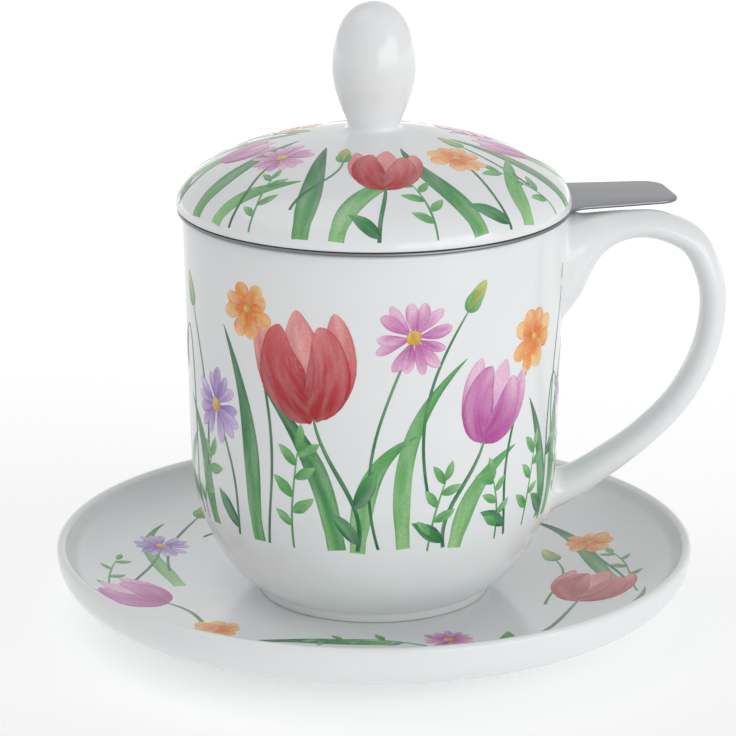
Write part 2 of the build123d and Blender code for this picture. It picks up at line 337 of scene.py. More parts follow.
saucer = {
    "radius": highOf("saucer")[0],
    "height": highOf("saucer")[2],
    "lipWall": 2.2,
    "wellRadius": 34.0,
    "wellZ": 6.0,
    "rise": 2.2,
    "plateHold": 0.75,          # shares that shape the plate: how long it stays flat, and its climb
    "plateClimb": 0.55,
    "underHold": 0.65,          # and the same underneath, with how steeply it turns up at the edge
    "underClimb": 0.9,
    "underTurn": 1.8,
    "footRadius": 43.5,
    "footWidth": 3.0,
    "footHeight": 2.6,
    "footDraft": 0.8,
    "footRun": (2.0, 4.0),      # mm of the underside beside the foot, outside and inside
    "bareTo": 0.35,             # height up to which the foot has no glaze
    "lipLean": (0.2, 0.4),      # how far the lip leans out from the plate, inside and outside
    "edge": 0.5,                # rounding of the foot ring
}


def saucerInside():    # well, plate curve and the inside of the lip, from the axis outwards
    s = saucer
    inside = s["radius"] - s["lipWall"]
    span = inside - s["wellRadius"]
    start = (s["wellRadius"], s["wellZ"])
    lipZ = s["height"] - s["lipWall"] / 2
    return joined(
        line((0, s["wellZ"]), start, 30),
        bezier(start, (start[0] + s["plateHold"] * span, start[1] + s["plateClimb"] * s["rise"]),
               (inside - s["lipLean"][0], start[1] + s["rise"]), (inside, lipZ), 90))


def makeSaucer():
    # A turned profile: the inside, half a circle over the lip, a cubic curve back underneath
    # and the foot ring, whose corners are rounded.
    s = saucer
    half, lipZ = s["lipWall"] / 2, s["height"] - s["lipWall"] / 2
    footTop = s["footRadius"] + s["footDraft"]
    under = s["radius"] - footTop
    bore = s["footRadius"] - s["footWidth"]
    foot = eased([
        (footTop + s["footRun"][0], s["footHeight"] + 0.1), (footTop, s["footHeight"]),
        (s["footRadius"], 0), (bore, 0), (bore - s["footDraft"], s["footHeight"]),
        (bore - s["footDraft"] - s["footRun"][1], s["footHeight"])], s["edge"])
    outline = joined(
        saucerInside(),
        arc((s["radius"] - half, lipZ), half, half, 180, 0, 17),
        bezier((s["radius"], lipZ),
               (s["radius"] - s["lipLean"][1], s["footHeight"] + s["underTurn"] * s["rise"]),
               (footTop + s["underHold"] * under, s["footHeight"] + s["underClimb"] * s["rise"]),
               foot[0], 60),
        foot,
        line(foot[-1], (0, s["footHeight"]), 24))
    piece = turned("saucerDish", outline, bareTo=s["bareTo"])
    return place(piece, "saucer", "porcelain", glazeMaterial, "saucer")


makeSaucer()
print("stage: saucer made")


mug = {
    "rimRadius": 44.2,
    "rimZ": highOf("mug_body")[2] - 0.02,    # a hair under the infuser's rim, which rests on it
    "baseZ": lowOf("mug_body")[2],
    "wall": 3.0,
    "floor": 3.5,
    "flare": 1.3,               # the wall leans out by this much above the belly
    "bellyWide": 23.5,
    "bellyHigh": 35.0,
    "footHeight": 2.2,
    "footWidth": 3.0,
    "footRecess": 2.5,
    "footDraft": 0.4,
    "footRun": 4.0,             # mm of the recess beside the foot ring
    "rimRound": 1.0,
    "bareTo": 0.3,              # height over its base up to which the foot has no glaze
    "edge": 0.4,
}


def mugSide(inset, lift, startAngle, count):
    # An ellipse up to where it leans as the wall does, and the straight wall above it.
    wide, high = mug["bellyWide"] - inset, mug["bellyHigh"] - lift
    lean = mug["flare"] / (mug["rimZ"] - mug["baseZ"] - mug["bellyHigh"])
    topAngle = -np.degrees(np.arctan(lean * high / wide))
    centre = (mug["rimRadius"] - mug["flare"] - mug["bellyWide"], mug["baseZ"] + mug["bellyHigh"])
    belly = arc(centre, wide, high, startAngle, topAngle, count)
    wall = line(belly[-1], (mug["rimRadius"] - inset, mug["rimZ"] - mug["rimRound"]), 40)
    return joined(belly, wall)


footAngle = -np.degrees(np.arcsin(1 - mug["footHeight"] / mug["bellyHigh"]))
mugOutside = mugSide(0, 0, footAngle, 70)


def mugRadius(z):    # outside radius at a height
    return np.interp(z, mugOutside[:, 1], mugOutside[:, 0])


def makeMugBody():
    # A turned profile: the foot ring, whose corners are rounded, the outside, two quarter
    # circles over the rim and the inside.
    m = mug
    inside = mugSide(m["wall"], m["footRecess"] + m["floor"], -90, 70)
    footX = mugOutside[0, 0] - m["footDraft"]
    bore = footX - m["footWidth"]
    recessZ = m["baseZ"] + m["footRecess"]
    foot = eased([
        (0, recessZ), (bore - m["footDraft"], recessZ), (bore, m["baseZ"]), (footX, m["baseZ"]),
        mugOutside[0], mugOutside[3]], m["edge"])
    bend = m["rimRound"]
    bendX, bendIn, bendZ = m["rimRadius"] - bend, m["rimRadius"] - m["wall"] + bend, m["rimZ"] - bend
    outline = joined(
        line((0, recessZ), (bore - m["footRun"], recessZ), 20)[:-1],
        foot[1:],
        mugOutside[4:],
        arc((bendX, bendZ), bend, bend, 0, 90, 8),
        arc((bendIn, bendZ), bend, bend, 90, 180, 8),
        inside[::-1],
        line(inside[0], (0, inside[0, 1]), 20))
    piece = turned("mugCup", outline, bareTo=m["baseZ"] + m["bareTo"])
    return place(piece, "mug", "porcelain", glazeMaterial, "mug_body")


makeMugBody()

handle = {
    "reach": 34.8,
    "drop": 70.8,
    "thick": 5.9,
    "wide": 10.2,
    "upperBlend": 1.2,          # fillet where the strap meets the mug, at the top
    "lowerBlend": 3.0,          # and at the bottom, where it runs in softly
    "swell": (0.6, 1.0, 0.6),   # shares of that fillet in X, Y and Z
    "sunk": 1.6,                # how deep the ends stand in the mug's wall
    "rows": 170,
    "around": 56,
    "stations": (               # share of reach, share of drop, heading, times thickness, times width
        (-0.07, 0.215, 0, 4.65, 1.42),
        (0.08, 0.157, 4, 3.40, 1.24),
        (0.15, 0.114, 10, 2.32, 1.14),
        (0.26, 0.078, 8, 1.54, 1.08),
        (0.425, 0.056, 2, 1.11, 1.06),
        (0.62, 0.058, -14, 1.10, 1.04),
        (0.844, 0.109, -40, 1.12, 1.02),
        (0.956, 0.208, -68, 1.07, 1.00),
        (0.995, 0.330, -87, 1.04, 1.00),
        (0.94, 0.4875, -107, 1.04, 1.00),
        (0.782, 0.641, -125, 1.04, 1.00),
        (0.537, 0.772, -137, 1.07, 1.02),
        (0.261, 0.876, -146, 1.17, 1.06),
        (0.04, 0.946, -151, 1.34, 1.12),
        (-0.22, 1.00, -150, 1.50, 1.25),
    ),
}


def throughPoints(points, count):    # smooth curve through the points: a cubic between each two
    padded = np.concatenate([2 * points[:1] - points[1:2], points, 2 * points[-1:] - points[-2:-1]])
    t = np.linspace(0, len(points) - 1, count)
    i = np.minimum(t.astype(int), len(points) - 2)
    f = (t - i)[:, None]
    a, b, c, d = padded[i], padded[i + 1], padded[i + 2], padded[i + 3]
    bend, twist = 2 * a - 5 * b + 4 * c - d, 3 * b - a - 3 * c + d
    return 0.5 * (2 * b + (c - a) * f + bend * f ** 2 + twist * f ** 3)


def makeHandle():
    # Ovals along the strap: each point is the middle plus its share of half the width, along
    # Y, and of half the thickness, across the heading. Near the mug the ovals swell by the
    # profile of a quarter circle, and no point lies deeper than the sunk ends.
    h, rows = handle, handle["rows"]
    out, down, heading, thick, wide = throughPoints(np.array(h["stations"]), rows).T
    turn = np.linspace(0, 2 * np.pi, h["around"], endpoint=False)
    heading = np.radians(heading)[:, None]
    side, rise = np.cos(turn), np.sin(turn)
    outward = np.stack([-np.sin(heading) * rise, side + 0 * heading, np.cos(heading) * rise], -1)
    middle = np.stack([mug["rimRadius"] + out * h["reach"], 0 * out, mug["rimZ"] - down * h["drop"]], -1)
    halves = np.stack([thick * h["thick"], wide * h["wide"], thick * h["thick"]], -1) / 2
    points = middle[:, None] + outward * halves[:, None]
    gap = np.hypot(points[..., 0], points[..., 1]) - mugRadius(points[..., 2])
    blend = np.where(np.arange(rows) < rows / 2, h["upperBlend"], h["lowerBlend"])[:, None]
    near = np.clip(1 - gap / blend, 0, 1)
    swell = blend * (1 - np.sqrt(1 - near ** 2))
    points = points + outward * swell[..., None] * np.array(h["swell"])
    reach = np.hypot(points[..., 0], points[..., 1])
    least = mugRadius(points[..., 2]) - h["sunk"]
    points[..., :2] *= (np.maximum(reach, least) / reach)[..., None]
    tube = capped(points, [points[0].mean(0), points[-1].mean(0)])
    return place(makePiece("mugHandle", *tube, sharp=60), "mug", "porcelain", glazeMaterial, "mug_handle")


makeHandle()
print("stage: mug made")


lid = {
    "radius": highOf("lid_body")[0],
    "seatZ": highOf("infuser_rim")[2],
    "rise": 18.0,               # from the infuser's rim to the top of the dome
    "wall": 3.4,
    "edgeHeight": 0.7,          # from the seat up to the widest line
    "seatRound": 1.9,           # more than the part's, for the dark line under the edge
    "crownPull": 0.32,          # shares that shape the dome
    "shoulderPull": 0.6,
    "edgePull": 0.55,           # and its edge
    "seatPull": 0.3,
    "skirtRadius": 37.4,
    "skirtWall": 3.0,
    "skirtDepth": 7.0,
    "skirtRun": 2.0,            # mm of the ceiling beside the skirt, and of the seat at its edge
    "seatRun": 1.0,
    "edge": 0.5,
}
knob = {
    "radius": 9.6,
    "tipZ": highOf("lid_knob")[2],
    "top": 14.8,
    "neckRadius": 6.0,
    "neckHeight": 1.5,
    "footRadius": 8.3,
    "socket": 0.6,
    "footPull": (0.6, 0.1, 0.3),    # shares that shape the foot
    "waistPull": (0.11, 0.5),   # the waist
    "sidePull": 0.58,           # and the egg's upper half
    "tipPull": 0.65,
}


def domeCurve(inset, count=200):    # profile of the dome from the axis out to its edge
    edge, topZ = lid["radius"] - inset, lid["seatZ"] + lid["rise"] - inset
    edgeZ = lid["seatZ"] + lid["edgeHeight"]
    return bezier((0, topZ), (lid["crownPull"] * edge, topZ),
                  (edge, edgeZ + lid["shoulderPull"] * (topZ - edgeZ)), (edge, edgeZ), count)


def domeZ(radius, inset=0.0):    # height of the dome at a radius
    curve = domeCurve(inset)
    return np.interp(radius, curve[:, 0], curve[:, 1])


def makeLid():
    # A turned profile: the socket under the knob, the cubic curve of the dome, one more round
    # its edge to the seat, the skirt with rounded corners, and the ceiling.
    s = lid
    edgeZ = s["seatZ"] + s["edgeHeight"]
    seatEdge = s["radius"] - s["seatRound"]
    footZ = domeZ(knob["footRadius"])
    socketZ = footZ - knob["socket"]
    dome, ceiling = domeCurve(0), domeCurve(s["wall"])
    bore, low = s["skirtRadius"] - s["skirtWall"], s["seatZ"] - s["skirtDepth"]
    run = bore - s["skirtRun"]
    skirt = eased([
        (run, domeZ(run, s["wall"])), (bore, domeZ(bore, s["wall"])), (bore, low),
        (s["skirtRadius"], low), (s["skirtRadius"], s["seatZ"]),
        (seatEdge - s["seatRun"], s["seatZ"])], s["edge"])
    outline = joined(
        [(0, socketZ), (knob["footRadius"], socketZ), (knob["footRadius"], footZ)],
        dome[dome[:, 0] > knob["footRadius"] + 0.1],    # clear of the point before
        bezier((s["radius"], edgeZ), (s["radius"], edgeZ - s["edgePull"] * s["edgeHeight"]),
               (s["radius"] - s["seatPull"] * s["seatRound"], s["seatZ"]), (seatEdge, s["seatZ"]), 10),
        skirt[::-1],
        ceiling[ceiling[:, 0] < run - 0.2][::-1])    # and clear of the skirt's last point
    return place(turned("lidDome", outline), "lid", "porcelain", glazeMaterial, "lid_body")


def makeKnob():
    # A turned profile of three cubic curves: the flared foot, the waist and the top of the egg.
    k = knob
    radius, neck, foot, high = k["radius"], k["neckRadius"], k["footRadius"], k["neckHeight"]
    footZ = domeZ(foot)
    neckZ, widestZ = footZ + high, k["tipZ"] - k["top"]
    waist = widestZ - neckZ
    inward, low, middle = k["footPull"]
    start, end = k["waistPull"]
    outline = joined(
        [(0, footZ - k["socket"]), (foot, footZ - k["socket"])],
        bezier((foot, footZ), (foot - inward * (foot - neck), footZ + low * high),
               (neck, footZ + middle * high), (neck, neckZ), 14),
        bezier((neck, neckZ), (neck, neckZ + start * waist),
               (radius, widestZ - end * waist), (radius, widestZ), 40),
        bezier((radius, widestZ), (radius, widestZ + k["sidePull"] * k["top"]),
               (k["tipPull"] * radius, k["tipZ"]), (0, k["tipZ"]), 40))
    return place(turned("lidKnob", outline, 160), "lid", "porcelain", glazeMaterial, "lid_knob")


makeLid()
makeKnob()
print("stage: lid made")


infuser = {
    "baseZ": lowOf("infuser_rim")[2],
    "sheet": 0.8,
    "flangeRadius": 45.4,
    "collarRadius": 39.5,
    "collarDepth": 9.0,
    "collarCut": 0.2,           # chamfer of its lower edge
    "bend": 1.2,
    "tabReach": 70.9,
    "tabTurn": 11.5,
    "tabRoot": 25.5,
    "tabTip": 19.5,
    "tabCorner": 5.0,
    "rootFillet": 7.0,
    "grainTurn": 2.0,           # mm over which the grain turns from the ring's to the tab's
    "edge": 0.28,
}


def bearing(way):    # its angle from X, in degrees
    return np.degrees(np.arctan2(way[1], way[0]))


def tabOutline():
    # One side of the rim and tab, from the tab's middle line to the side away from it: the
    # end, a round corner, the straight side, a fillet that touches side and rim, the rim.
    s = infuser
    root = np.array([s["collarRadius"], s["tabRoot"] / 2])
    tip = np.array([s["tabReach"], s["tabTip"] / 2])
    along = (tip - root) / np.linalg.norm(tip - root)
    across = np.array([-along[1], along[0]])
    lifted = root + s["rootFillet"] * across
    toCentre = s["flangeRadius"] + s["rootFillet"]
    half = lifted @ along
    centre = lifted + along * (-half + np.sqrt(half ** 2 - lifted @ lifted + toCentre ** 2))
    fillet = arc(centre, s["rootFillet"], s["rootFillet"], bearing(-across), bearing(-centre), 14)
    corner = s["tabCorner"]
    lean = bearing(across)
    rise = np.tan(np.radians(lean / 2))
    cornerCentre = np.array([s["tabReach"] - corner, tip[1] - corner * rise])
    rounding = arc(cornerCentre, corner, corner, 0, lean, 12)
    rim = arc((0, 0), s["flangeRadius"], s["flangeRadius"], bearing(fillet[-1]), 180, 130)
    end, straight = line((s["tabReach"], 0), rounding[0], 6), line(rounding[-1], fillet[0], 14)
    return joined(end, rounding, straight, fillet, rim)


def atHeight(flat, z):    # a flat run of points, lifted to a height
    return np.concatenate([flat, np.full((len(flat), 1), z)], 1)


def makeInfuserRim():
    # Rings whose points lie on the same rays: circles up the bore of the collar and round its
    # bend, the outline of ring and tab, drawn in where the sheet's edge is rounded, and circles
    # back down. The grain runs round the ring and along the tab.
    s = infuser
    side = tabOutline()
    plan = np.concatenate([side, side[1:-1][::-1] * [1, -1]])
    turn = np.radians(s["tabTurn"])
    plan = plan @ np.array([[np.cos(turn), np.sin(turn)], [-np.sin(turn), np.cos(turn)]])
    ahead = np.roll(plan, -1, 0) - np.roll(plan, 1, 0)
    ahead /= np.linalg.norm(ahead, axis=1)[:, None]
    outward = np.stack([ahead[:, 1], -ahead[:, 0]], 1)
    angle = np.arctan2(plan[:, 1], plan[:, 0])
    ray = np.stack([np.cos(angle), np.sin(angle)], 1)
    low, rimZ = s["baseZ"], s["baseZ"] + s["collarDepth"]
    bendX, bendZ, topZ = s["collarRadius"] + s["bend"], rimZ - s["bend"], rimZ + s["sheet"]
    bore, cut = s["collarRadius"] - s["sheet"], s["collarCut"]
    inner = joined(
        [(bore, low + cut), (bore, bendZ)],
        arc((bendX, bendZ), s["bend"] + s["sheet"], s["bend"] + s["sheet"], 180, 90, 12))
    outer = joined(
        arc((bendX, bendZ), s["bend"], s["bend"], 90, 180, 10),
        [(s["collarRadius"], low + cut), (s["collarRadius"] - cut, low), (bore + cut, low)])
    rings = [atHeight(ray * r, z) for r, z in inner]
    for turnTo in np.radians(np.linspace(90, -90, 9)):
        shift = s["edge"] * (1 - np.cos(turnTo))
        middle = topZ - s["edge"] if turnTo > 0 else rimZ + s["edge"]
        rings.append(atHeight(plan - outward * shift, middle + s["edge"] * np.sin(turnTo)))
    rings += [atHeight(ray * r, z) for r, z in outer]
    quads = gridQuads(len(rings), len(plan), wrapRows=True, wrapColumns=True)
    flat = np.concatenate(rings)
    reach = np.hypot(flat[:, 0], flat[:, 1])
    onTab = np.clip((reach - s["flangeRadius"]) / s["grainTurn"], 0, 1)
    around = np.arctan2(flat[:, 1], flat[:, 0]) * s["flangeRadius"]
    along = flat @ np.array([np.cos(turn), np.sin(turn), 0])
    across = flat @ np.array([-np.sin(turn), np.cos(turn), 0])
    lengthwise = along * onTab + around * (1 - onTab)
    sideways = across * onTab + (reach + flat[:, 2]) * (1 - onTab)
    grain = np.stack([lengthwise, sideways, flat[:, 2]], 1)
    piece = makePiece("infuserRim", flat, quads, attributes={"grain": ("FLOAT_VECTOR", grain)})
    return place(piece, "infuser", "stainless_steel", steelMaterial, "infuser_rim")


makeInfuserRim()
for node in ("infuser_wall", "infuser_hem_ring", "infuser_screen"):
    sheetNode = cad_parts[node]
    sheetNode.data.materials.clear()
    sheetNode.data.materials.append(rolledMaterial)
print("stage: infuser made")


# The print is laid out flat, in millimetres: round the mug as the way round from the front and
# the height, on the lid and the saucer as seen from above. Each stroke of colour is a grid of
# points on that flat, and then a thin closed shell on the glaze.

paints = {                      # pigment where it gathers, and where it is washed thin
    "red": ("#b00d1b", "#f09a98"),
    "rose": ("#b8479c", "#f3c6e2"),
    "mauve": ("#8455b4", "#dccbf0"),
    "orange": ("#ec6f08", "#fccf8f"),
    "yellow": ("#c98d14", "#f5df80"),
    "green": ("#0f6a38", "#76ba69"),
    "sage": ("#3f9848", "#a5d48d"),
    "lime": ("#7d8f24", "#dde08a"),
}
strokeKinds = {                 # rows, columns, width at the start, share where widest, roundness
    "petal": (15, 9, 0.12, 0.62, 0.62),
    "bract": (17, 11, 0.3, 0.45, 0.6),
    "leaf": (15, 9, 0.05, 0.42, 0.85),
    "blade": (40, 9, 0.8, 0.3, 0.72),
    "bell": (15, 9, 0.4, 0.7, 0.4),
    "stem": (30, 5, 1.0, 0.5, 0.25),
    "dot": (13, 9, 0.0, 0.5, 0.62),
}


def ripple(u, v, draws):
    # Smooth random field: the mean of sine waves with random directions and phases.
    e = enamel
    along = draws.uniform(*e["wavesAlong"], e["waves"])
    across = draws.uniform(*e["wavesAcross"], e["waves"])
    phase = draws.uniform(0, 2 * np.pi, e["waves"])
    angle = 2 * np.pi * (u[..., None] * along + v[..., None] * across) + phase
    return np.sin(angle).mean(-1) * e["waveHeight"]


def stroke(kind, spine, width, colour, draws, layer=0, tones=(0.1, 0.8)):
    # Point at (u, v): the spine, a cubic curve, at u, plus v times half the width there across
    # it. The width grows from its start, follows a sine to the widest place and closes at the
    # tip. The colour runs from deep to pale along u, with pools at the edges and a few ripples.
    rows, columns, start, widest, roundness = strokeKinds[kind]
    u = (1 - np.cos(np.linspace(0, np.pi, rows))) / 2
    v = np.linspace(-1, 1, columns)
    middle = curveAt(spine, u)
    ahead = np.gradient(middle, axis=0)
    ahead /= np.linalg.norm(ahead, axis=1)[:, None]
    across = np.stack([-ahead[:, 1], ahead[:, 0]], 1)
    swell = np.sin(np.pi * u ** (np.log(0.5) / np.log(widest))).clip(0) ** roundness
    half = np.where(u < widest, np.maximum(start, swell), swell) * width / 2
    edge = 1 + enamel["wobble"] * ripple(2 * u, 0 * u, draws)
    half = np.maximum(half * edge, enamel["tip"])
    flat = middle[:, None] + across[:, None] * (half[:, None] * v)[..., None]
    uu, vv = np.broadcast_arrays(u[:, None], v)
    tone = tones[0] + (tones[1] - tones[0]) * uu + enamel["wash"] * ripple(uu, vv, draws)
    tone -= enamel["pool"] * vv ** 8
    deep, pale = (hexShares(shade) for shade in paints[colour])
    shades = deep + (pale - deep) * tone.clip(0, 1)[..., None]
    length = np.concatenate([[0], np.cumsum(np.linalg.norm(np.diff(middle, axis=0), axis=1))])
    sweep = np.stack([length[:, None] + 0 * vv, half[:, None] * vv, 0 * vv + draws.uniform(0, 90)], -1)
    lift = enamel["lift"] + layer * enamel["layer"]
    return {"flat": flat, "colour": toLinear(shades), "sweep": sweep, "lift": lift}


def placed(points, spot, tilt=0.0, size=1.0):    # drawn upright, then sized, tilted and moved
    a = np.radians(tilt)
    turn = np.array([[np.cos(a), np.sin(a)], [-np.sin(a), np.cos(a)]])
    return np.asarray(points, float) * size @ turn + spot


def spineFrom(start, startTurn, end, endTurn):
    # Spine that leaves and arrives at these headings: 0 is up, and it turns to the left.
    start, end = np.array(start, float), np.array(end, float)
    reach = 0.4 * np.linalg.norm(end - start)
    out, back = placed([(0, reach)], start, startTurn)[0], placed([(0, -reach)], end, endTurn)[0]
    return np.array([start, out, back, end])


def headingOf(start, end):
    return -np.degrees(np.arctan2(end[0] - start[0], end[1] - start[1]))


def drawn(kind, points, at, wide, colour, draws, *rest):    # stroke of a flower or leaf at its place
    spot, size, tilt = at
    return stroke(kind, placed(points, spot, tilt, size), wide * size, colour, draws, *rest)


def tulip(at, colour, draws):    # side view: petals from one base, the front ones last
    petals = (    # where the tip leans, how far the side bows, height, width, layer, tone at the base
        (-0.37, -0.30, 0.96, 0.34, 6, 0.35), (0.37, 0.30, 0.93, 0.34, 7, 0.3),
        (0.02, 0.0, 1.0, 0.42, 8, 0.5), (-0.17, -0.24, 0.88, 0.44, 9, 0.0),
        (0.20, 0.22, 0.82, 0.40, 10, 0.08))
    return [
        drawn("bract", [(0, 0), (bow, 0.16), (bow * 1.35, 0.62), (lean, high)], at, wide,
              colour, draws, layer, (base - 0.2, base + 0.75))
        for lean, bow, high, wide, layer, base in petals]


petalSpread = {                 # how petals differ: degrees, then shares of the flower, then a factor
    "turn": (-6, 6),
    "reach": (0.43, 0.52),
    "bend": (-0.05, 0.05),
    "wash": (-0.15, 0.2),
    "width": (0.85, 1.15),
}


def rosette(at, colour, draws, petals, wide, inner, layer=6, tones=(0.1, 1.0)):
    # Petals all round a centre, each a little off in angle, length, width and tone.
    spot, size, tilt = at
    strokes = []
    for turn in np.arange(petals) * 360 / petals:
        angle = tilt + turn + draws.uniform(*petalSpread["turn"])
        reach, bend, wash = (draws.uniform(*petalSpread[key]) for key in ("reach", "bend", "wash"))
        petal = [(0, inner), (bend, inner + 0.1), (bend, reach - 0.1), (0, reach)]
        spine = placed(petal, spot, angle, size)
        width = wide * size * draws.uniform(*petalSpread["width"])
        strokes.append(stroke("petal", spine, width, colour, draws,
                              layer + draws.integers(0, 3), (tones[0] + wash, tones[1] + wash)))
    return strokes


def heart(at, share, draws):    # round yellow middle of a flower
    dot = [(0, -0.5), (0, -0.17), (0, 0.17), (0, 0.5)]
    return [drawn("dot", dot, (at[0], share * at[1], 30), 1, "yellow", draws, 12, (0.1, 0.7))]


def daisy(at, colour, draws):
    return rosette(at, colour, draws, 13, 0.15, 0.07) + heart(at, 0.2, draws)


def buttonFlower(at, colour, draws):    # two rings of broad petals
    spot, size, tilt = at
    return (rosette(at, colour, draws, 8, 0.28, 0.05, 6, (0.3, 1.0))
            + rosette((spot, 0.6 * size, tilt + 20), colour, draws, 6, 0.3, 0.04, 9, (-0.1, 0.6))
            + heart(at, 0.15, draws))


def bellFlower(at, colour, draws):    # hanging bell: a cup with three lobes, a green cap
    cup, cap = [(0, 0), (0, 0.3), (0, 0.6), (0, 0.86)], [(0, -0.1), (0, -0.02), (0, 0.08), (0, 0.2)]
    strokes = [drawn("bell", cup, at, 0.66, colour, draws, 6, (0.0, 0.8))]
    for side in (-0.24, 0.0, 0.24):
        lobe = [(side * 0.7, 0.5), (side, 0.62), (side * 1.3, 0.8), (side * 1.7, 1.0)]
        strokes.append(drawn("leaf", lobe, at, 0.3, colour, draws, 8, (0.3, 1.0)))
    return strokes + [drawn("dot", cap, at, 0.3, "sage", draws, 9)]


def bud(at, colour, draws):    # closed bud in its green sepals
    strokes = [drawn("bract", [(0, 0), (0, 0.3), (0, 0.6), (0.02, 1)], at, 0.46, colour, draws, 6)]
    for side in (-1, 1):
        sepal = [(0, -0.03), (0.2 * side, 0.1), (0.22 * side, 0.36), (0.1 * side, 0.66)]
        strokes.append(drawn("leaf", sepal, at, 0.19, "sage", draws, 8))
    return strokes


def leafAt(middle, share, side, size, colour, draws, slim=0.36):    # leaf that stands off a stem
    row = min(int(share * (len(middle) - 1)), len(middle) - 2)
    at = middle[row], size, side + headingOf(middle[row], middle[row + 1])
    leaf = [(0, 0), (0.03, 0.35), (0.05, 0.7), (0, 1)]
    return drawn("leaf", leaf, at, slim, colour, draws, 5, (0.0, 0.75))


leafing = {
    "first": 0.16,              # shares of the stem at its first leaf and between leaves
    "apart": 0.24,
    "lean": 48,                 # degrees that a leaf stands off a stem, and its size in mm
    "size": (8.5, 11),
    "sprigFirst": 0.2,          # and the same on a sprig, whose leaves differ by a factor
    "sprigLean": 52,
    "sprigSize": (0.8, 1.15),
}


def stem(spine, leaves, draws, width):    # with leaves that stand off it by turns
    strokes = [stroke("stem", spine, width, "green", draws, 4, (0.0, 0.5))]
    middle = strokes[0]["flat"][:, 2]
    for number in range(leaves):
        share, side = leafing["first"] + leafing["apart"] * number, leafing["lean"] * (-1) ** number
        strokes.append(leafAt(middle, share, side, draws.uniform(*leafing["size"]), "green", draws))
    return strokes


def sprig(spine, leaves, size, draws):    # thin stem, leafy all along, with a leaf at its tip
    strokes = [stroke("stem", spine, 0.5, "sage", draws, 4, (0.0, 0.5))]
    middle = strokes[0]["flat"][:, 2]
    for number in range(leaves):
        side = 0 if number == leaves - 1 else leafing["sprigLean"] * (-1) ** number
        share = leafing["sprigFirst"] + (1 - leafing["sprigFirst"]) * (number + 1) / leaves
        leaf = size * draws.uniform(*leafing["sprigSize"])
        strokes.append(leafAt(middle, share, side, leaf, "sage", draws, 0.4))
    return strokes


def onMug(flat, lift):    # angle round the mug from the way round, radius from the mug's outside
    angle, z = flat[..., 0] / mug["rimRadius"] - np.pi / 2, flat[..., 1]
    step = 0.1
    slope = (mugRadius(z + step) - mugRadius(z - step)) / (2 * step)
    out = mugRadius(z) + lift / np.hypot(1, slope)
    return np.stack([out * np.cos(angle), out * np.sin(angle), z - lift * slope / np.hypot(1, slope)], -1)


def onProfile(profile):
    # A flat laid on a surface that is turned about the axis: the distance from the flat's
    # middle is the way along the profile, from the axis outwards.
    way = np.concatenate([[0], np.cumsum(np.linalg.norm(np.diff(profile, axis=0), axis=1))])
    ahead = np.gradient(profile, way, axis=0)

    def lay(flat, lift):
        reach = np.hypot(flat[..., 0], flat[..., 1])
        radius, height, out, up = (np.interp(reach, way, values) for values in (*profile.T, *ahead.T))
        share = (radius - lift * up) / reach
        return np.concatenate([flat * share[..., None], (height + lift * out)[..., None]], -1)
    return lay


def makePrint(name, strokes, lay, body):
    # Each stroke's section is a flat ring: along its top from edge to edge and back under the
    # glaze. The rings of one stroke are joined up, and its first and last are closed.
    points, quads, colours, sweeps, start = [], [], [], [], 0
    for one in strokes:
        rows, columns = one["flat"].shape[:2]
        top, under = lay(one["flat"], one["lift"]), lay(one["flat"][:, ::-1], -enamel["sunk"])
        points.append(np.concatenate([top, under], 1).reshape(-1, 3))
        for values, field in ((colours, "colour"), (sweeps, "sweep")):
            values.append(np.concatenate([one[field], one[field][:, ::-1]], 1).reshape(-1, 3))
        across = np.arange(columns - 1)
        cap = np.stack([across, across + 1, 2 * columns - 2 - across, 2 * columns - 1 - across], 1)
        quads += [start + gridQuads(rows, 2 * columns, wrapColumns=True), start + cap[:, ::-1],
                  start + (rows - 1) * 2 * columns + cap]
        start += rows * 2 * columns
    colours = np.concatenate(colours)
    attributes = {
        "paint": ("FLOAT_COLOR", np.concatenate([colours, np.ones((len(colours), 1))], 1)),
        "sweep": ("FLOAT_VECTOR", np.concatenate(sweeps))}
    piece = makePiece(name, np.concatenate(points), np.concatenate(quads), attributes=attributes)
    print(name, "strokes", len(strokes), "triangles", 2 * len(piece.data.polygons))
    return place(piece, body, "porcelain", printMaterial)


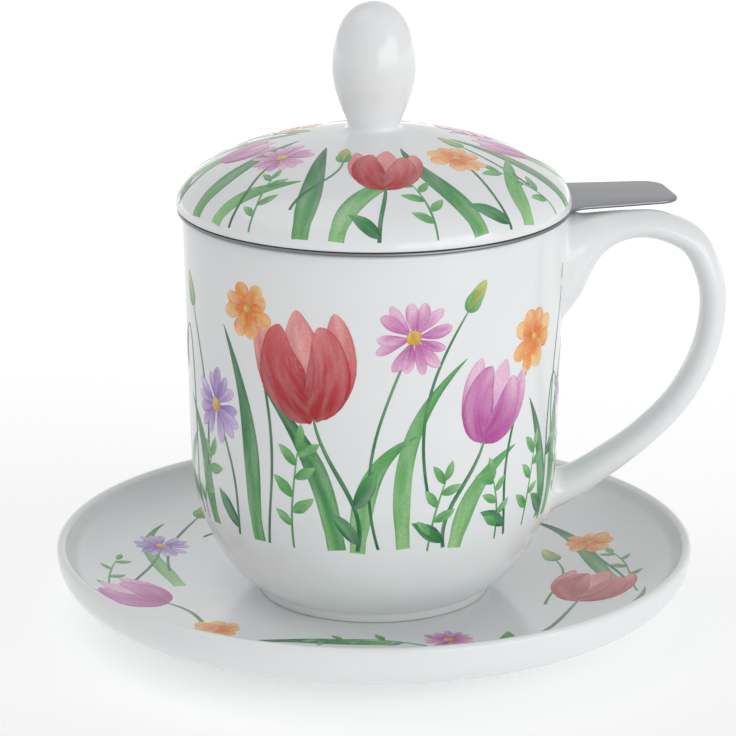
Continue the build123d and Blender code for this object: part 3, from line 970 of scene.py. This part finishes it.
# Layouts. A blade or a sprig has its foot, the heading there, its tip and the heading there. A
# flower has its place, size, heading and colour, and the foot of its stem and the heading there.
mugMeadow = {                   # way round from the middle and height
    "blades": (
        ((-9, 28.5), 6, (-27, 66), 44, 5.4, "green"), ((-4, 28), -4, (10, 56), -66, 5.0, "sage"),
        ((20, 28), -6, (37, 50), -70, 4.6, "sage"), ((-30, 28), 2, (-39, 78), 26, 4.6, "green"),
        ((-47, 28), 6, (-58, 57), 48, 4.6, "green"), ((50, 29), 4, (42, 60), 28, 4.0, "green"),
        ((55, 28), -4, (65, 68), -34, 4.6, "green"), ((-63, 29), -6, (-54, 49), -44, 4.0, "sage"),
        ((-66, 28), 2, (-69, 64), 16, 4.0, "green"), ((7, 29), 6, (22, 73), -52, 4.2, "sage")),
    "sprigs": (
        ((-20, 28), 0, (-18, 52), -8, 7, 6.0), ((13, 28), -4, (17, 45), -20, 6, 6.0),
        ((32, 28), 4, (30, 43), 14, 6, 5.5), ((-52, 28), 0, (-46, 45), -22, 6, 6.0),
        ((62, 28), 0, (60, 46), 12, 6, 5.5), ((42, 29), 0, (45, 47), -14, 6, 5.5)),
    "flowers": (
        (tulip, (-14, 60), 25, 10, "red", (-4, 28.5), -14, 2),
        (tulip, (27, 53), 19, -18, "rose", (17, 28.5), 14, 1),
        (daisy, (9, 79), 18, -22, "rose", (1, 29), 16, 0),
        (daisy, (-43, 58), 18, 24, "mauve", (-37, 28), -14, 1),
        (buttonFlower, (43, 74), 16, -20, "orange", (35, 28.5), 14, 1),
        (buttonFlower, (-31, 83), 14, 18, "orange", (-27, 28), -10, 0),
        (bellFlower, (58, 60), 8, -150, "mauve", (51, 28), 0, 2),
        (bellFlower, (-62, 70), 8, 150, "mauve", (-55, 28.5), 0, 1),
        (bud, (22, 84), 8, -34, "lime", (13, 40), 12, 0),
        (bud, (-54, 79), 8, 22, "lime", (-48, 42), -8, 0),
        (bud, (62, 83), 8, -24, "lime", (55, 44), 8, 0)),
}
lidMeadow = {                   # way round at the ring's radius, and the way in from its edge
    "edge": 49.5,
    "ring": 38.0,
    "blades": (
        ((-14, 0), 2, (-27, 33), 34, 5.4, "green"), ((-7, 0), -4, (13, 21), -70, 4.8, "sage"),
        ((21, 0), 8, (15, 34), -10, 5.2, "green"), ((33, 0), -8, (51, 18), -66, 4.6, "sage"),
        ((-41, 0), 4, (-50, 32), 22, 5.0, "green"), ((-34, 0), -10, (-20, 17), -58, 4.2, "sage"),
        ((50, 0), 0, (54, 32), -10, 4.6, "green"), ((-57, 0), 6, (-64, 20), 50, 4.2, "sage")),
    "sprigs": (
        ((12, 0), 0, (10, 17), 16, 6, 5.2), ((43, 0), 4, (39, 16), 14, 6, 5.2),
        ((-25, 0), 4, (-29, 16), 14, 6, 5.2)),
    "flowers": (
        (tulip, (3, 16), 17, -4, "red", (1, 0), 0, 1), (daisy, (-37, 24), 15, 10, "rose", (-30, 0), 0, 0),
        (buttonFlower, (33, 25), 14, -10, "orange", (28, 0), 0, 1),
        (tulip, (-56, 14), 13, 6, "rose", (-52, 0), 0, 1),
        (bud, (-12, 27), 7, 16, "lime", (-18, 7), 0, 0), (bud, (46, 28), 7, -20, "lime", (42, 9), 0, 0)),
}
saucerMeadow = {                # as seen from above, all round the mug
    "blades": (
        ((-34, -44), 62, (-64, -12), 6, 4.4, "green"), ((-46, -4), 20, (-52, 36), -30, 3.8, "sage"),
        ((30, -45), -62, (64, -10), -8, 4.6, "sage"), ((57, -2), 20, (38, 42), 50, 4.2, "green"),
        ((4, -41), 84, (-31, -41), 100, 3.6, "green"), ((8, -50), -84, (42, -36), -40, 3.6, "sage"),
        ((-32, 46), -60, (8, 50), -110, 4.2, "green"), ((26, 50), 70, (-6, 38), 110, 3.8, "sage")),
    "sprigs": (
        ((12, -43), 60, (-12, -39), 100, 6, 4.6), ((62, -12), 10, (58, 16), 24, 6, 4.6),
        ((-62, -16), 4, (-62, 10), -10, 5, 4.6), ((40, 40), 80, (14, 57), 80, 5, 5.0)),
    "flowers": (
        (tulip, (48, -14), 20, -22, "red", (28, -46), -56, 1),
        (tulip, (-49, -16), 18, 62, "rose", (-32, -46), 40, 0),
        (daisy, (17, -39), 13, 0, "rose", (32, -42), 70, 0),
        (buttonFlower, (-36, -33), 12, 0, "orange", (-22, -46), 50, 0),
        (daisy, (-52, 22), 14, 0, "mauve", (-59, -12), -10, 0),
        (buttonFlower, (53, 24), 13, 0, "orange", (60, -4), 8, 0),
        (bud, (-44, 42), 8, -20, "lime", (-49, 6), 10, 0), (bud, (44, 14), 8, 20, "lime", (40, -16), -10, 0),
        (tulip, (10, 44), 18, 74, "rose", (36, 38), 50, 1),
        (daisy, (-24, 44), 14, 0, "mauve", (-42, 30), -30, 0)),
}


def roundMug(points, turn):    # turned about the axis, in degrees
    return points + [np.radians(turn) * mug["rimRadius"], 0]


def roundLid(points, turn):
    angle = np.radians(turn) + points[:, 0] / lidMeadow["ring"]
    radius = lidMeadow["edge"] - points[:, 1]
    return np.stack([radius * np.cos(angle), radius * np.sin(angle)], 1)


def asDrawn(points, turn):    # the saucer's layout is its flat
    return points


def printStrokes(meadow, layOut, turn, draws):    # layOut takes the layout's points to the flat
    strokes = []
    for number, (*path, width, colour) in enumerate(meadow["blades"]):
        spine = layOut(spineFrom(*path), turn)
        strokes.append(stroke("blade", spine, width, colour, draws, number % 4, (0.85, 0.0)))
    for *path, leaves, size in meadow["sprigs"]:
        strokes += sprig(layOut(spineFrom(*path), turn), leaves, size, draws)
    for kind, spot, size, tilt, colour, root, rootTurn, leaves in meadow["flowers"]:
        spine = layOut(spineFrom(root, rootTurn, spot, tilt), turn)
        strokes += stem(spine, leaves, draws, 1.0 if kind is tulip else 0.7)    # mm wide
        strokes += kind((spine[3], size, headingOf(*spine[2:])), colour, draws)
    return strokes


draws = np.random.default_rng(7)
for name, meadow, layOut, turns, lay, body in (
        ("mugPrint", mugMeadow, roundMug, (0, 180), onMug, "mug"),
        ("lidPrint", lidMeadow, roundLid, (-90, 90), onProfile(domeCurve(0)), "lid"),
        ("saucerPrint", saucerMeadow, asDrawn, (0,), onProfile(saucerInside()), "saucer")):
    strokes = [one for turn in turns for one in printStrokes(meadow, layOut, turn, draws)]
    makePrint(name, strokes, lay, body)
print("stage: print made")


studio = {
    "floor": "#f4f4f4",
    "floorHalf": 4000.0,        # mm, and its height, a hair under the saucer's foot
    "floorZ": -0.05,
    "floorGlow": 0.15,          # what the lit table adds under everything
    "floorSeen": (0.13, 0.4),   # and on top of that where it is seen, before and behind the set
    "seenSpan": (-0.25, 0.35),  # m along Y between which that changes
    "floorFar": 0.8,            # and more again far away, where the table fades into the white
    "farSpan": (0.5, 1.6),      # m from the middle between which that grows
    "zenith": 0.33,             # the room's light from above and from level with the table
    "horizon": 0.58,
    "aim": (0, 0, 0.06),        # m, where every lamp points
    "lamps": {                  # power, place in m, size in m
        "keyLamp": (14.3, (1.92, -1.36, 0.54), 1.44),
        "topLamp": (3.1, (-0.55, 0.08, 1.3), 1.1),
        "lowLamp": (5.0, (0.72, -1.52, 0.16), 0.8),
    },
}


def plainlySeen(add):    # 1 for rays from the camera, from gloss and through glass, 0 for others
    ray = add("LightPath")
    direct = add("Math", None, {0: (ray, "Is Camera Ray"), 1: (ray, "Is Glossy Ray")})
    return add("Math", None, {0: (direct, "Value"), 1: (ray, "Is Transmission Ray")})


def makeFloor():
    # Matt white paper, one flat square. Where it is seen it glows, more to the back and far
    # away, so that it runs into the white of the room without an edge.
    s = studio
    half, z = s["floorHalf"] * mm, s["floorZ"] * mm
    mesh = bpy.data.meshes.new("floor")
    corners = [(-half, -half, z), (half, -half, z), (half, half, z), (-half, half, z)]
    mesh.from_pydata(corners, [], [(0, 1, 2, 3)])
    floor = newObject("floor", mesh)
    material, add = newMaterial("paperSweep")
    paper = add("BsdfDiffuse", {"Color": colour4(s["floor"])})
    solid = add("TexCoord")
    spot = add("SeparateXYZ", None, {0: (solid, "Object")})
    (front, behind), (low, high) = s["seenSpan"], s["floorSeen"]
    back = add("MapRange", {"From Min": front, "From Max": behind, "To Min": low, "To Max": high},
               {"Value": (spot, "Y")})
    reach = add("VectorMath", {"operation": "LENGTH"}, {0: (solid, "Object")})
    near, away = s["farSpan"]
    far = add("MapRange", {"From Min": near, "From Max": away, "To Max": s["floorFar"]},
              {"Value": (reach, "Value")})
    faded = add("Math", None, {0: (back, "Result"), 1: (far, "Result")})
    shown = add("Math", {"operation": "MULTIPLY_ADD", 2: s["floorGlow"]},
                {0: (plainlySeen(add), "Value"), 1: (faded, "Value")})
    glow = add("Emission", None, {"Strength": (shown, "Value")})
    both = add("AddShader", None, {0: (paper, "BSDF"), 1: (glow, "Emission")})
    add("OutputMaterial", None, {"Surface": (both, "Shader")})
    mesh.materials.append(material)


def makeLamp(name, power, spot, size):    # square, and turned to the set
    lamp = bpy.data.lights.new(name, "AREA")
    lamp.energy, lamp.size, lamp.shape = power, size, "SQUARE"
    holder = newObject(name, lamp)
    holder.location = spot
    way = Vector(studio["aim"]) - Vector(spot)
    holder.rotation_euler = way.to_track_quat("-Z", "Y").to_euler()


def makeWorld():
    # Pale room: white where it is seen, and for other rays a softer light that falls off from
    # the horizon to the zenith.
    world = bpy.data.worlds.new("paleRoom")
    add = nodesOf(world)
    way = add("TexCoord")
    height = add("SeparateXYZ", None, {0: (way, "Generated")})
    soft = add("MapRange", {"To Min": studio["horizon"], "To Max": studio["zenith"]},
               {"Value": (height, "Z")})
    strength = add("MapRange", {"To Max": 1.0},
                   {"Value": (plainlySeen(add), "Value"), "To Min": (soft, "Result")})
    room = add("Background", {"Color": (1, 1, 1, 1)}, {"Strength": (strength, "Result")})
    add("OutputWorld", None, {"Surface": (room, "Background")})
    bpy.context.scene.world = world


camera = {
    "place": (0.0, -772.0, 289.2),    # mm
    "pitch": 16.58,             # degrees below level
    "focal": 3443.0,            # pixels, and the width of the frame that they are counted in
    "frameWide": 736.0,
    "axisShift": 6.0,           # pixels from the frame's middle to the lens axis
    "sensor": 36.0,
}


def makeCamera():
    c = camera
    lens = bpy.data.cameras.new("studioCamera")
    lens.sensor_width = c["sensor"]
    lens.lens = c["focal"] / c["frameWide"] * c["sensor"]
    lens.shift_x = -c["axisShift"] / c["frameWide"]
    holder = newObject("studioCamera", lens)
    tilt = Matrix.Rotation(np.radians(90 - c["pitch"]), 4, "X")
    holder.matrix_world = Matrix.Translation(Vector(c["place"]) * mm) @ tilt
    bpy.context.scene.camera = holder


makeFloor()
for name, lamp in studio["lamps"].items():
    makeLamp(name, *lamp)
makeWorld()
makeCamera()
bpy.context.scene.view_settings.view_transform = "Standard"
print("stage: studio made")
